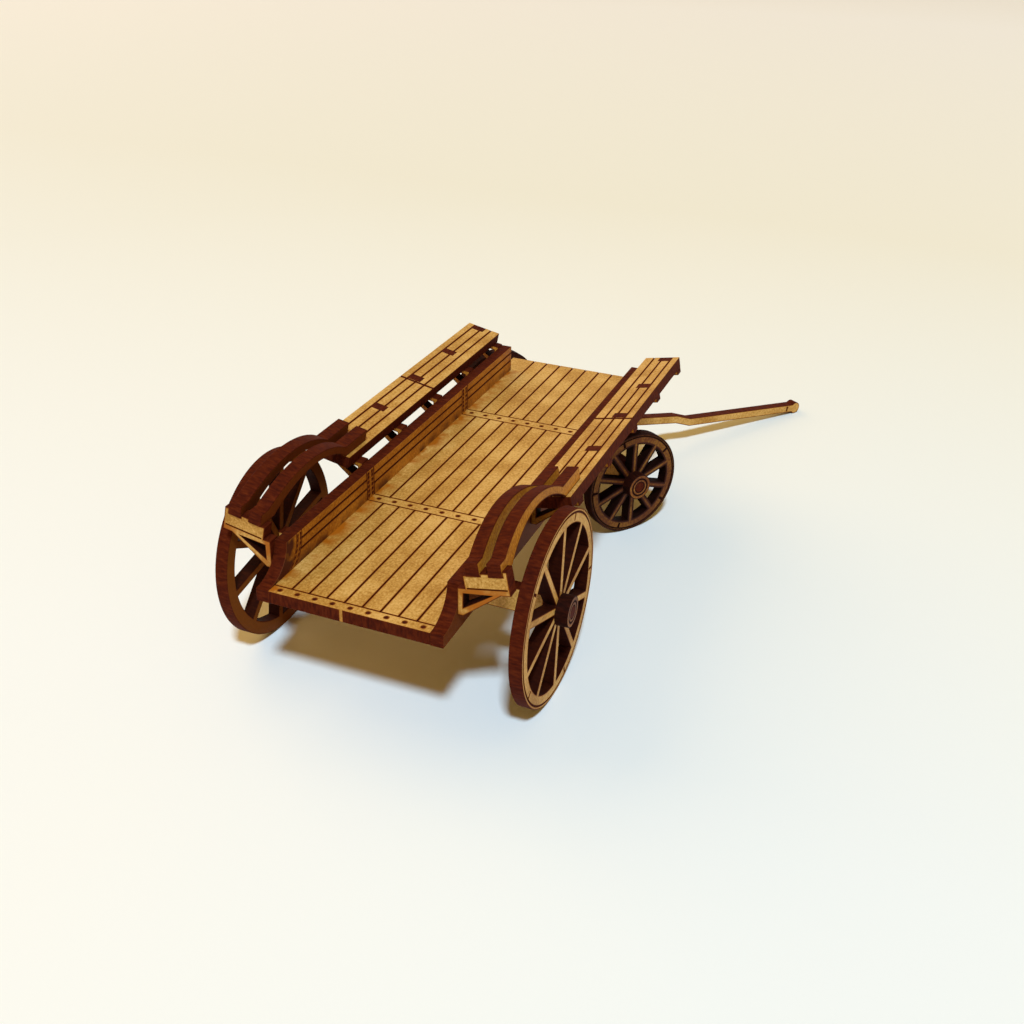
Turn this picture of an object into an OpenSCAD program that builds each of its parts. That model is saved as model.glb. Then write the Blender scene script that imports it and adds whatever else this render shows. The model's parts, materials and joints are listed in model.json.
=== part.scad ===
// Small laser-cut fibreboard model of a four-wheeled bow wagon.
// The frame: +X is the wagon's right, +Y is forward, +Z is up, and the origin is the
// centre of the floor's top face. All sizes are millimetres.

/* [Sheet] */
// Thickness of the sheet that every flat piece is cut from
sheet = 2; // [1.5:0.1:2.5]

/* [Bed] */
// Width of the floor between the sides
floor_w = 25; // [20:0.5:36]
// Length of the floor
floor_l = 96.4; // [80:0.2:120]
// Height of the sides above the floor
side_rise = 4.9; // [3.5:0.1:8]
// How far the floor runs on in front of the sides
floor_nose = 6.2; // [2:0.2:8]
// How far the swept rear end of a side runs in from its foot
sweep_l = 5.5; // [3:0.1:8]

/* [Outraves] */
// Width of a side board, along its slope
outrave_w = 6.6; // [5.6:0.1:9]
// Distance from the floor's rear edge to the side board's rear end
outrave_rear = 28.9; // [27:0.1:32]
// Upward tilt of a side board, outer edge higher
outrave_tilt = 11.1; // [0:0.1:20]
// Gap between a side's outer face and the side board's inner edge
outrave_gap = 0.7; // [0.5:0.1:2]
// Height of the side board's inner top edge above the side's top
outrave_lift = 2.3; // [2:0.1:4]

/* [Brackets] */
// Length of a bracket's leg on the side's outer face
leg_h = 4.1; // [3:0.1:5]
// Width of a bracket's leg, arm and stay
bracket_bar = 0.9; // [0.7:0.1:1.3]
// Width of the tab that comes up through the side board
tab_w = 2.4; // [1.6:0.1:3.2]
// Share of the side board's width at which the tabs are centred
tab_share = 0.62; // [0.4:0.02:0.66]
// Distance from the floor's rear edge to the rear bracket
rear_bracket_y = 4.4; // [3:0.1:8]
// Height of the teeth that part the arch feet
tooth_h = 0.4; // [0.2:0.1:0.8]

/* [Arches] */
// Distance from the floor's rear edge to the middle of an arch
arch_y = 17.8; // [16:0.1:19]
// Height of the crown above the side board's face
arch_crown = 5.1; // [4:0.1:8]
// Depth of the bow at its crown, in its own plane
arch_depth = 1.6; // [1.2:0.1:1.9]
// How far the bow's outer curve is set back, and its inner curve forward
arch_lean = 0.6; // [0:0.1:0.8]
// Length of the straight front end of an arch on the side board
arch_tail = 6.4; // [4:0.1:10]
// How far the arch feet stand out behind the rear bracket
foot_out = 0.2; // [0:0.1:1]
// Distance from the side board's inner edge to the inner arch
arch_inset = 0.6; // [0.2:0.1:1]
// Gap between the two arches of one side
arch_gap = 1.3; // [1:0.1:2]

/* [Wheels] */
// Diameter of a rear wheel
rear_d = 29.8; // [26:0.2:36]
// Diameter of a front wheel
front_d = 19.5; // [17:0.1:21]
// Width of a wheel's rim, from tread to spokes
rim_w = 2.1; // [1.5:0.1:2.5]
// Number of spokes in each wheel
spoke_count = 10; // [8:1:12]
// Width of a spoke
spoke_w = 1.2; // [0.7:0.1:1.6]
// Diameter of the hub disc on the wheel's outer face
hub_d = 4.8; // [4:0.1:6]
// Diameter of the axle's round ends
axle_d = 1.9; // [1.4:0.1:2.2]
// Gap between a side board's lower outer edge and a wheel's inner face
wheel_clear = 0.2; // [0.1:0.1:2]
// Turn of the right rear wheel on its axle, from a spoke straight up
right_roll = -3; // [-18:1:18]
// Turn of the left rear wheel on its axle, from a spoke straight up
left_roll = -8; // [-18:1:18]
// Distance from the floor's rear edge to the rear axle
rear_axle_y = 18.8; // [16:0.1:24]
// Depth of the rear axle's centre below the floor's top face
axle_drop = 4.4; // [3.6:0.1:7]

/* [Fore-carriage] */
// Distance between the two axles
wheelbase = 66; // [54:0.5:70]
// Gap between the turned front wheel and the side at full right lock
lock_gap = 0.15; // [0.1:0.05:2]
// Diameter of the two turntable discs
turntable_d = 12; // [9:0.5:14]
// Diameter of the king pin
king_d = 2; // [1.5:0.1:3]
// Length of the pole from its pivot to the centre of its knob
pole_l = 60.2; // [50:0.1:80]
// Height of the pole's pivot above the front axle's centre
pivot_rise = 1; // [0:0.1:1.4]
// Distance from the king pin to the pole's pivot
pivot_y = 6; // [4.5:0.5:8]
// Height of the pole's edge
pole_h = 1.7; // [1.4:0.1:2.5]
// Diameter of the knob at the pole's end
knob_d = 2.6; // [2:0.1:4]
// Drop of the pole's far part below the line of its pivot
pole_drop = 2.6; // [1.2:0.1:4]
// Height of the swan-neck step
neck_step = 1.05; // [0:0.05:1.2]
// Distance along the pole from its pivot to the swan neck
neck_y = 24.4; // [15:0.2:40]

/* [Hidden] */
$fn = 64;
eps = 0.01;
face_tan = [0.76, 0.58, 0.30];
edge_brown = [0.33, 0.13, 0.07];

run_gap = 0.06;                       // radial clearance of a turning fit
wheel_gap = 0.2;                      // end clearance between an axle's shoulder and its wheel
rear_y = -floor_l / 2;                // rear edge of the floor
side_x = floor_w / 2;                 // inner face of a side
side_l = floor_l - floor_nose;
side_out = side_x + sheet;            // outer face of a side
outrave_x = side_out + outrave_gap;
outrave_z = side_rise + outrave_lift;
outrave_front = rear_y + side_l;
outrave_l = side_l - outrave_rear;
outrave_out = outrave_x + outrave_w * cos(outrave_tilt) + sheet * sin(outrave_tilt);
bracket_count = 5;                    // as NODES names them
first_bracket = outrave_front - sheet / 2;
last_bracket = rear_y + outrave_rear + 1.9 * sheet;
bracket_pitch = (first_bracket - last_bracket) / (bracket_count - 1);
tab_in = outrave_w * tab_share - tab_w / 2;
inner_u = arch_inset;                 // inner face of each arch, along the side board's slope
outer_u = arch_inset + sheet + arch_gap;
pin_d = 1.2;
axle_y = rear_y + rear_axle_y;
king_y = axle_y + wheelbase;
axle_z = -axle_drop;
ground = axle_z - rear_d / 2;
front_z = ground + front_d / 2;
table_z = -2 * sheet;                 // face where the two turntable discs meet
wheel_in = outrave_out + wheel_clear; // inner face of a wheel, from the centre line
wheel_out = wheel_in + sheet;
shoulder = wheel_in - wheel_gap;
rear_beam_bottom = axle_z - 1.6;
front_beam_bottom = front_z - 1.8;
hound_gap = sheet + 2 * run_gap;      // space for the pole between the hounds
pivot_z = front_z + pivot_rise;
pole_dip = asin((pivot_z - ground - knob_d / 2) / norm([pole_l, pole_drop])) - atan(pole_drop / pole_l);

// Full lock: the front corner of the wheel's inner face, level with the side's lower edge,
// swings in until it stands off the side's outer face by lock_gap.
lock_reach = sqrt(max(0, front_d * front_d / 4 - (-sheet - front_z) * (-sheet - front_z)));
steer = acos((side_out + lock_gap) / norm([wheel_in, lock_reach])) - atan(lock_reach / wheel_in);

module right_or_left(s) {
  if (s > 0) children();
  else mirror([1, 0, 0]) children();
}

// Stands a plate drawn in x (across) and y (up) upright across the wagon, centred on y.
module cross_plate(y, thick = sheet) {
  translate([0, y + thick / 2, 0]) rotate([90, 0, 0]) linear_extrude(thick) children();
}

// Stands a plate drawn in x (forward) and y (up) along the wagon, from x outwards.
module long_plate(x, thick = sheet) {
  translate([x, 0, 0]) rotate([90, 0, 90]) linear_extrude(thick) children();
}

// Frame of a side board: x runs out along its slope, z stands off its top face.
module outrave_frame() {
  translate([outrave_x, 0, outrave_z]) rotate([0, -outrave_tilt, 0]) children();
}

// The same frame in a cross plate's own drawing plane.
module outrave_plane() {
  translate([outrave_x, outrave_z]) rotate(outrave_tilt) children();
}

// Floor, with a nose as wide as the bed in front of the sides.
module floor() {
  color(face_tan) {
    translate([-side_x, rear_y, -sheet]) cube([floor_w, floor_l, sheet]);
    translate([-side_out, rear_y + side_l, -sheet]) cube([2 * side_out, floor_nose, sheet]);
  }
}

// Side wall, with its rear end swept up in a hollow curve.
module side_outline() {
  difference() {
    translate([rear_y, -sheet]) square([side_l, sheet + side_rise]);
    translate([rear_y, side_rise]) scale([sweep_l / side_rise, 1]) circle(side_rise);
  }
}

module side(s) {
  color(face_tan) right_or_left(s) long_plate(side_x) side_outline();
}

function bracket_y(i) = first_bracket - i * bracket_pitch;

module outrave(s) {
  color(face_tan) right_or_left(s) outrave_frame()
    difference() {
      translate([0, outrave_front - outrave_l, -sheet]) cube([outrave_w, outrave_l, sheet]);
      for (i = [0 : bracket_count - 1])
        translate([tab_in, bracket_y(i) - sheet / 2, -sheet - eps])
          cube([tab_w, sheet + (i == 0 ? eps : 0), sheet + 2 * eps]);
    }
}

// Leg, arm and stay of a bracket, with an open triangle between them.
module bracket_outline() {
  leg_top = side_rise;
  leg_foot = [side_out, leg_top - leg_h];
  difference() {
    polygon([
      leg_foot,
      leg_foot + [bracket_bar, 0],
      arm_point(0.78, -sheet - bracket_bar),
      arm_point(1, -sheet - bracket_bar),
      arm_point(1, -sheet),
      arm_point(0, -sheet),
      [side_out, arm_point(0, -sheet)[1] - outrave_gap * tan(outrave_tilt)]
    ]);
    polygon([
      leg_foot + [bracket_bar, 1.5 * bracket_bar],
      arm_point(0.6, -sheet - bracket_bar),
      [side_out + bracket_bar, arm_point(0, -sheet - bracket_bar)[1]]
    ]);
  }
}

// A point on the bracket's arm: a share of the side board's width, and a height off its face.
function arm_point(share, up) = [
  outrave_x + share * outrave_w * cos(outrave_tilt) - up * sin(outrave_tilt),
  outrave_z + share * outrave_w * sin(outrave_tilt) + up * cos(outrave_tilt)
];

module bracket(s, i) {
  color(edge_brown) right_or_left(s) cross_plate(bracket_y(i)) {
    bracket_outline();
    outrave_plane() translate([tab_in, -sheet - eps]) square([tab_w, sheet + eps]);
  }
}

// Rear bracket: the bracket with an end band on top, notched for the two arch feet.
module rear_bracket(s) {
  color(face_tan) right_or_left(s) cross_plate(rear_y + rear_bracket_y + sheet / 2) {
    bracket_outline();
    outrave_plane() {
      translate([0, -sheet - eps]) square([outrave_w, sheet + eps]);
      translate([inner_u + sheet, -eps]) square([arch_gap, tooth_h + eps]);
      translate([outer_u + sheet, -eps]) square([outrave_w - outer_u - sheet, 2 * tooth_h + eps]);
    }
  }
}

// Radius of the circle through both ends of a chord and a crown above its middle.
function bow_radius(half_chord, rise) = (half_chord * half_chord + rise * rise) / (2 * rise);

// Bow over the rear wheel: a straight front end on the side board, an arc that is deeper at
// its ends, and a foot on the rear bracket. The inner curve springs from the board's rear end.
module arch_outline() {
  half = outrave_rear - arch_y;
  foot = rear_y + rear_bracket_y - foot_out;
  mid = rear_y + arch_y;
  outer_r = bow_radius(half, arch_crown - sheet);
  inner_r = bow_radius(half - arch_lean, arch_crown - arch_depth);
  difference() {
    intersection() {
      translate([foot, 0]) square([floor_l, arch_crown]);
      union() {
        translate([mid - arch_lean, arch_crown - outer_r]) circle(outer_r, $fn = 180);
        translate([foot, 0]) square([mid - half - foot, sheet]);
        translate([mid, 0]) square([half + arch_tail, sheet]);
      }
    }
    translate([mid + arch_lean, arch_crown - arch_depth - inner_r]) circle(inner_r, $fn = 180);
  }
}

module arch(s, u) {
  color(edge_brown) right_or_left(s) outrave_frame()
    translate([u, 0, 0]) rotate([90, 0, 90]) linear_extrude(sheet) arch_outline();
}

// Round end of an axle, out through the wheel to the hub's outer face.
module axle_end(z) {
  translate([shoulder - eps, 0, z]) rotate([0, 90, 0])
    cylinder(d = axle_d, h = wheel_out + sheet - shoulder + eps, $fn = 48);
}

module axle(y, z, top, bottom) {
  translate([0, y, 0]) {
    cross_plate(0) translate([-shoulder, bottom]) square([2 * shoulder, top - bottom]);
    axle_end(z);
    mirror([1, 0, 0]) axle_end(z);
  }
}

module rear_axle() {
  color(face_tan) axle(axle_y, axle_z, -sheet, rear_beam_bottom);
}

module upper_turntable() {
  color(face_tan) translate([0, king_y, table_z]) difference() {
    cylinder(d = turntable_d, h = sheet);
    translate([0, 0, -eps]) cylinder(d = king_d, h = sheet + 2 * eps);
  }
}

module king_pin() {
  color(edge_brown) translate([0, king_y, table_z - sheet]) cylinder(d = king_d, h = 2 * sheet);
}

// Frame of the fore-carriage: origin at the king pin, turned by the steering angle.
module turned() {
  translate([0, king_y, 0]) rotate(-steer) children();
}

module lower_turntable() {
  color(face_tan) turned() translate([0, 0, table_z - sheet]) difference() {
    cylinder(d = turntable_d, h = sheet);
    translate([0, 0, -eps]) cylinder(r = king_d / 2 + run_gap, h = sheet + 2 * eps);
  }
}

module front_axle() {
  color(face_tan) turned() axle(0, front_z, table_z - sheet, front_beam_bottom);
}

// Hounds: two plates on edge in front of the axle that hold the pole's pin.
module hound(s) {
  hound_top = table_z - sheet;
  color(face_tan) turned() right_or_left(s) difference() {
    long_plate(hound_gap / 2)
      polygon([
        [sheet / 2, hound_top], [pivot_y + 2.4, hound_top], [pivot_y + 2.4, pivot_z - 1],
        [pivot_y + 1, pivot_z - 2.2], [sheet / 2, pivot_z - 2.2]
      ]);
    translate([0, pivot_y, pivot_z]) rotate([0, 90, 0]) cylinder(d = pin_d, h = 4 * sheet, $fn = 48);
  }
}

module pole_pin() {
  color(edge_brown) turned() translate([0, pivot_y, pivot_z]) rotate([0, 90, 0])
    cylinder(d = pin_d, h = hound_gap + 2 * sheet, center = true, $fn = 48);
}

// Pole: a plate on edge with a swan-neck step and a round knob at its end.
module pole_outline() {
  half = pole_h / 2;
  neck_l = 4;
  difference() {
    union() {
      circle(d = 2 * pole_h, $fn = 48);
      polygon([
        [0, -half], [neck_y, neck_step - pole_drop - half], [neck_y + neck_l, -pole_drop - half],
        [pole_l, -pole_drop - half], [pole_l, half - pole_drop], [neck_y + neck_l, half - pole_drop],
        [neck_y, neck_step - pole_drop + half], [0, half]
      ]);
      translate([pole_l, -pole_drop]) circle(d = knob_d, $fn = 48);
    }
    circle(r = pin_d / 2 + run_gap, $fn = 48);
  }
}

module pole() {
  color(face_tan) turned() translate([-sheet / 2, pivot_y, pivot_z]) rotate([-pole_dip, 0, 0])
    rotate([90, 0, 90]) linear_extrude(sheet) pole_outline();
}

// A wheel's flat plate, with its axis on X, its inner face at x = 0 and a spoke straight up.
module wheel_plate(d) {
  rotate([90, 0, 90]) linear_extrude(sheet) difference() {
    union() {
      difference() {
        circle(d = d, $fn = 128);
        circle(d = d - 2 * rim_w, $fn = 128);
      }
      circle(d = hub_d);
      for (k = [0 : spoke_count - 1]) rotate(90 + k * 360 / spoke_count)
        translate([0, -spoke_w / 2]) square([(d - rim_w) / 2, spoke_w]);
    }
    circle(r = axle_d / 2 + run_gap, $fn = 48);
  }
}

module hub_disc() {
  rotate([0, 90, 0]) difference() {
    cylinder(d = hub_d, h = sheet);
    translate([0, 0, -eps]) cylinder(r = axle_d / 2 + run_gap, h = sheet + 2 * eps, $fn = 48);
  }
}

module rear_wheel(s) {
  color(face_tan) right_or_left(s) translate([wheel_in, axle_y, axle_z])
    rotate([s > 0 ? right_roll : left_roll, 0, 0]) wheel_plate(rear_d);
}

module rear_hub(s) {
  color(edge_brown) right_or_left(s) translate([wheel_out, axle_y, axle_z]) hub_disc();
}

module front_wheel(s) {
  color(face_tan) turned() right_or_left(s) translate([wheel_in, 0, front_z]) wheel_plate(front_d);
}

module front_hub(s) {
  color(edge_brown) turned() right_or_left(s) translate([wheel_out, 0, front_z]) hub_disc();
}

floor();
side(-1);  // left_side
side(1);  // right_side
outrave(-1);  // left_outrave
outrave(1);  // right_outrave
for (i = [1 : bracket_count]) {
  bracket(-1, i - 1);
  bracket(1, i - 1);
}
rear_bracket(-1);  // left_rear_bracket
rear_bracket(1);  // right_rear_bracket
arch(-1, inner_u);  // left_inner_arch
arch(-1, outer_u);  // left_outer_arch
arch(1, inner_u);  // right_inner_arch
arch(1, outer_u);  // right_outer_arch
rear_axle();
upper_turntable();
king_pin();
lower_turntable();
front_axle();
hound(-1);  // left_hound
hound(1);  // right_hound
pole_pin();
pole();
rear_wheel(-1);  // rear_left_wheel
rear_hub(-1);  // rear_left_hub
rear_wheel(1);  // rear_right_wheel
rear_hub(1);  // rear_right_hub
front_wheel(-1);  // front_left_wheel
front_hub(-1);  // front_left_hub
front_wheel(1);  // front_right_wheel
front_hub(1);  // front_right_hub
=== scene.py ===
# %% [markdown]
# # A laser-cut model wagon
# The object is a small model of a four-wheeled bow wagon. Every part of it is a plate that a
# laser cut from one 2 mm sheet of medium-density fibreboard: the faces stay tan, the cut edges
# come out scorched dark brown, and the plank joints are thin lines engraved into the faces.
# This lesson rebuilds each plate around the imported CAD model, with real grooves and scorched
# edges, and gives it one material that knows how far a point is from the laser's path.

import json
import math

import bpy
import numpy as np
from mathutils import Matrix, Vector
from mathutils.geometry import tessellate_polygon


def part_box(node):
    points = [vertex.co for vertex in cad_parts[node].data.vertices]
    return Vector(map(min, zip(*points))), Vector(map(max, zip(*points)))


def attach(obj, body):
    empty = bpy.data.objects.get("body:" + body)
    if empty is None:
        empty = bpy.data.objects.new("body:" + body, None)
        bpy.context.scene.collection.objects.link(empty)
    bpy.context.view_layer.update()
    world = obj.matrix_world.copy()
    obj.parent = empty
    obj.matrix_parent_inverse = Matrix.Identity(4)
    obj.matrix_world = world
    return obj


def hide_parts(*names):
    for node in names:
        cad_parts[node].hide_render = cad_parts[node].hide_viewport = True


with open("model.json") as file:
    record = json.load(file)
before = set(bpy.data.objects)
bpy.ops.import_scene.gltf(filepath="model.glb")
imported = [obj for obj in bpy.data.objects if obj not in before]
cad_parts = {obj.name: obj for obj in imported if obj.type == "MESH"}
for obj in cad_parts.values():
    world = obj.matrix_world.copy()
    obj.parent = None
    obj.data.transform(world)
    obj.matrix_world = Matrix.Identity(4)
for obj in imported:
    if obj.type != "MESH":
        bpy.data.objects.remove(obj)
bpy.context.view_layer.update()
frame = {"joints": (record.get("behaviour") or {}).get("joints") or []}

# %% [markdown]
# They come from the boxes of the CAD nodes and from the joints, so the looks follow the CAD
# when it changes.

# %% Sizes from the frame
MM = 0.001


def box(node):
    """The lowest and the highest corner of a CAD node, in millimetres."""
    low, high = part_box(node)
    return np.array(low) / MM, np.array(high) / MM


joints = {j["name"]: j for j in frame["joints"]}
floor_low, floor_high = box("floor")
side_low, side_high = box("right_side")
board_low, board_high = box("right_outrave")
sheet = floor_high[2] - floor_low[2]
rear_y, front_y = floor_low[1], floor_high[1]
side_in, side_out = side_low[0], side_high[0]
side_front, side_top = side_high[1], side_high[2]
tilt = math.radians(11.1)
slope = np.array([math.cos(tilt), 0, math.sin(tilt)])
off_slope = np.array([-math.sin(tilt), 0, math.cos(tilt)])
board_x = board_low[0]
board_z = board_low[2] + sheet * math.cos(tilt)
board_w = (board_high[0] - board_x - sheet * math.sin(tilt)) / math.cos(tilt)
board_rear = board_low[1]
print("sheet", round(sheet, 2), "side board", round(board_w, 2), "wide at height",
      round(board_z, 2))

# %% [markdown]
# ## Helpers
# A plate is drawn in its own plane, with u and v in the plane and w off its face. The place of
# that plane is three directions and a point. A left-hand plate is the right-hand one seen in a
# mirror, so its faces are turned round to keep them pointing outwards.

# %% Placing a drawing
def plane(origin, right, up, off=None):
    """Gives the function that carries drawing points (u, v, w) to the frame:
    origin + u times right + v times up + w times off; off is right cross up unless given."""
    right, up = np.array(right, float), np.array(up, float)
    off = np.cross(right, up) if off is None else np.array(off, float)
    turn = np.stack([right, up, off])

    def carry(points):
        return np.array(origin, float) + points @ turn

    carry.mirrored = np.linalg.det(turn) < 0
    return carry


def shape(points, faces, burn, carry):
    """One closed shell: drawing points, faces, how burnt each point is, and where it goes."""
    points = np.asarray(points, float)
    faces = [f[::-1] for f in faces] if carry.mirrored else list(faces)
    return {"xyz": carry(points), "faces": faces, "burn": np.asarray(burn, float), "sheet": points}


print("1 mm across a side board goes", slope.round(3), "and 1 mm off it goes", off_slope.round(3))

# %% [markdown]
# Laser-cut board needs two facts at each point: how burnt it is, and where it lies in the
# sheet. Both are stored on the mesh, as "burn" and "sheet", and the material reads them. Each
# piece takes its own stretch of the sheet, so that no two pieces carry the same pattern.

# %% Making a piece
made = {}
pieces = {}
stretch = 40.0
sharp_angle = math.radians(30)


def piece(name, body, shells, stain_and_shade=None):
    """Joins closed shells into one mesh that stands for the CAD node of the same name."""
    start = np.cumsum([0] + [len(s["xyz"]) for s in shells])
    faces = [tuple(int(i) + int(a) for i in f) for s, a in zip(shells, start) for f in s["faces"]]
    xyz = np.vstack([s["xyz"] for s in shells])
    mesh = bpy.data.meshes.new(name + ".look")
    mesh.from_pydata(xyz * MM, [], faces)
    mesh.validate()
    shift = stretch * len(made)
    values = mesh.attributes.new("sheet", "FLOAT_VECTOR", "POINT")
    laid = np.vstack([s["sheet"] for s in shells]) + [shift, 0, 0]
    values.data.foreach_set("vector", laid.astype(np.float32).ravel())
    values = mesh.attributes.new("burn", "FLOAT", "POINT")
    values.data.foreach_set("value", np.concatenate([s["burn"] for s in shells]).astype(np.float32))
    # The stain attribute holds a real stain on the floor and painted shade along the sides' feet.
    if stain_and_shade is not None:
        values = mesh.attributes.new("stain_and_shade", "FLOAT", "POINT")
        values.data.foreach_set("value", stain_and_shade(xyz).astype(np.float32))
    mesh.shade_smooth()
    mesh.set_sharp_from_angle(angle=sharp_angle)
    obj = bpy.data.objects.new(name + ".look", mesh)
    bpy.context.scene.collection.objects.link(obj)
    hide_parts(name)
    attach(obj, body)
    low, high = box(name)
    gap = max(np.abs(xyz.min(0) - low).max(), np.abs(xyz.max(0) - high).max())
    made[name] = round(float(gap), 3)
    pieces[name] = obj


print("a new stretch of the sheet starts every", stretch, "mm")

# %% [markdown]
# ### Plates with an outline
# A cut edge is a profile carried round the outline: it starts a little way in on one face,
# where the scorch begins, turns the corner over a tiny chamfer, runs through the sheet, and
# ends the same way on the other face. The faces are then filled up to that scorch line.

# %% Cut edges
chamfer = 0.06
scorch = 0.22
sharpest = 0.4


def inset(loop, amount):
    """Moves each point of a closed outline to its left by amount, along the mitre of its two
    edges: p + amount * (n1 + n2) / (1 + n1.n2), with n1 and n2 the edges' left normals. The
    last bracket is kept from going under sharpest, so that no sharp corner runs away."""
    ahead = np.roll(loop, -1, 0) - loop
    ahead /= np.linalg.norm(ahead, axis=1)[:, None]
    left = np.stack([-ahead[:, 1], ahead[:, 0]], 1)
    before = np.roll(left, 1, 0)
    share = 1 + (left * before).sum(1)
    return loop + amount * (left + before) / np.maximum(share, sharpest)[:, None]


def carried(loop, insets, heights, burns, first):
    """A profile carried along a closed outline: row k of the points is the outline moved in by
    insets[k] and lifted to heights[k], and quads join each row to the next."""
    rows, count = len(insets), len(loop)
    points = [np.column_stack([inset(loop, d), np.full(count, h)])
              for d, h in zip(insets, heights)]
    index = first + np.arange(rows * count).reshape(rows, count)
    after = np.roll(index, -1, 1)
    quads = np.stack([index[:-1], after[:-1], after[1:], index[1:]], -1).reshape(-1, 4)
    return np.vstack(points), quads.tolist(), np.repeat(burns, count), index


def filled(rings, points, upwards):
    """Triangles that fill the area between closed rings of point numbers."""
    numbers = np.concatenate(rings)
    flat = [[Vector((*points[i][:2], 0)) for i in ring] for ring in rings]
    tris = numbers[np.array(tessellate_polygon(flat))]
    a, b, c = (points[tris[:, k]][:, :2] for k in range(3))
    area = (b[:, 0] - a[:, 0]) * (c[:, 1] - a[:, 1]) - (b[:, 1] - a[:, 1]) * (c[:, 0] - a[:, 0])
    turned = (area < 0) == upwards
    tris[turned] = tris[turned][:, ::-1]
    return tris.tolist()


square = np.array([[0.0, 0.0], [10.0, 0.0], [10.0, 10.0], [0.0, 10.0]])
print("a 10 mm square moved in by the scorch:", inset(square, scorch).round(2).tolist())

# %% [markdown]
# A plate is then its outline and its holes with their cut edges, engraved areas sunk into its
# upper face, and two filled faces. Burn goes from 0 on a clean face to 1 on a cut edge, and
# above 1 on the walls of holes, which the material darkens to near black as painted shade.

# %% Cutting a plate from its outline
groove_depth = 0.14
groove_halo, groove_slope = 0.08, 0.03
# Holes' walls get a burn above 1, which the material turns into painted shade.
back_burn, corner_burn, hole_burn_and_shade = 0.64, 0.85, 1.5


def plate(outline, carry, holes=(), grooves=(), fade=scorch, face_burn=0.0):
    """A plate cut along an outline (anticlockwise) and holes (clockwise), with engraved areas
    (anticlockwise, and clockwise where an area has an island) on its upper face. The lower
    face lay on the laser's bed and is browned all over. The scorch reaches in by fade, and
    the upper face within it is burnt by face_burn."""
    edge = ([fade, chamfer, 0, 0, chamfer, fade],
            [0, 0, chamfer, sheet - chamfer, sheet, sheet])
    points, faces, burn, low, high = [], [], [], [], []
    first = 0
    for number, loop in enumerate((outline, *holes)):
        wall = hole_burn_and_shade if number else 1
        burns = [back_burn, corner_burn, wall, wall, corner_burn, face_burn]
        p, f, b, index = carried(np.asarray(loop, float), *edge, burns, first)
        points.append(p), burn.append(b), faces.extend(f)
        low.append(index[0]), high.append(index[-1])
        first += len(p)
    groove = ([-groove_halo, 0, groove_slope], [sheet, sheet, sheet - groove_depth],
              [face_burn, 0.7, 0.95])
    beds = []
    for area in grooves:
        rings = []
        for loop in area:
            p, f, b, index = carried(np.asarray(loop, float), *groove, first)
            points.append(p), burn.append(b), faces.extend(f)
            high.append(index[0]), rings.append(index[-1])
            first += len(p)
        beds.append(rings)
    points = np.vstack(points)
    faces += filled(low, points, False) + filled(high, points, True)
    for rings in beds:
        faces += filled(rings, points, True)
    return shape(points, faces, np.concatenate(burn), carry)


sample = plate(square, plane([0, 0, 0], [1, 0, 0], [0, 1, 0]))
print("a square plate has", len(sample["xyz"]), "points and", len(sample["faces"]), "faces")

# %% [markdown]
# ### Round parts
# Pins, discs and the axles' round ends are a profile turned round an axis.

# %% Turning a disc
def turned(profile, carry, count=72):
    """A profile of (radius, height, burn) points, closed on itself, turned round the drawing's
    w axis: (r cos a, r sin a, h) for a round the circle."""
    profile = np.asarray(profile, float)
    angle = np.arange(count) * 2 * math.pi / count
    ring = np.stack([np.cos(angle), np.sin(angle)], -1)
    flat = profile[:, None, :1] * ring[None]
    height = np.broadcast_to(profile[:, None, 1:2], (len(profile), count, 1))
    points = np.concatenate([flat, height], -1).reshape(-1, 3)
    index = np.arange(len(profile) * count).reshape(-1, count)
    above = np.roll(index, -1, 0)
    quads = np.stack([index, np.roll(index, -1, 1), np.roll(above, -1, 1), above], -1)
    faces = quads.reshape(-1, 4).tolist()
    return shape(points, faces, np.repeat(profile[:, 2], count), carry)


def circle(radius, count, centre=(0, 0), phase=0.0):
    """Points round a circle, anticlockwise."""
    angle = phase + np.arange(count) * 2 * math.pi / count
    return np.array(centre) + radius * np.stack([np.cos(angle), np.sin(angle)], -1)


print("four points round a circle of 1 mm:", circle(1, 4).round(2).tolist())

# %% [markdown]
# ### Long boards
# The floor, the sides and the side boards carry many crossing lines and small pin dots. These
# boards are height fields: a grid whose lines stand closer beside each engraved mark, with a
# height of the sheet's thickness less the groove at that distance from the mark's path.

# %% Engraved marks
line_half, fine_half, dot_half = 0.1, 0.06, 0.32
halo = 0.16
closest = 0.015


def nearness(u, v, marks):
    """Distance from each point to each mark's path, less the mark's half width. A mark is a
    straight stroke (u0, v0, u1, v1, half); a dot is a stroke of no length. The distance is
    |p - (a + t (b - a))| with t the share of the stroke nearest to p, kept within 0 to 1."""
    m = np.asarray(marks, float)[:, :, None, None]
    du, dv = m[:, 2] - m[:, 0], m[:, 3] - m[:, 1]
    t = ((u - m[:, 0]) * du + (v - m[:, 1]) * dv) / np.maximum(du**2 + dv**2, 1e-9)
    t = np.clip(t, 0, 1)
    return np.hypot(u - m[:, 0] - t * du, v - m[:, 1] - t * dv) - m[:, 4]


def stops(low, high, marks, columns, extra=(), pitch=2.0):
    """Grid lines from low to high: a few beside each mark's ends, and a coarse pitch between.
    Lines nearer to the last one than closest are left out."""
    m = np.asarray(marks, float)
    ends = m[:, columns].ravel()
    half = np.repeat(m[:, 4], len(columns))
    near = np.multiply.outer([-1.0, -0.6, -0.2, 0.2, 0.6, 1.0], half) + ends
    wide = np.concatenate([ends - half - halo, ends + half + halo])
    edge = [low, low + chamfer, low + scorch, high - scorch, high - chamfer, high]
    steps = np.arange(low, high, pitch)
    values = np.unique(np.round(np.concatenate([near.ravel(), wide, edge, steps, extra]), 3))
    values = values[(values >= low - 1e-6) & (values <= high + 1e-6)]
    return values[np.concatenate([[True], np.diff(values) > closest])]


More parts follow.
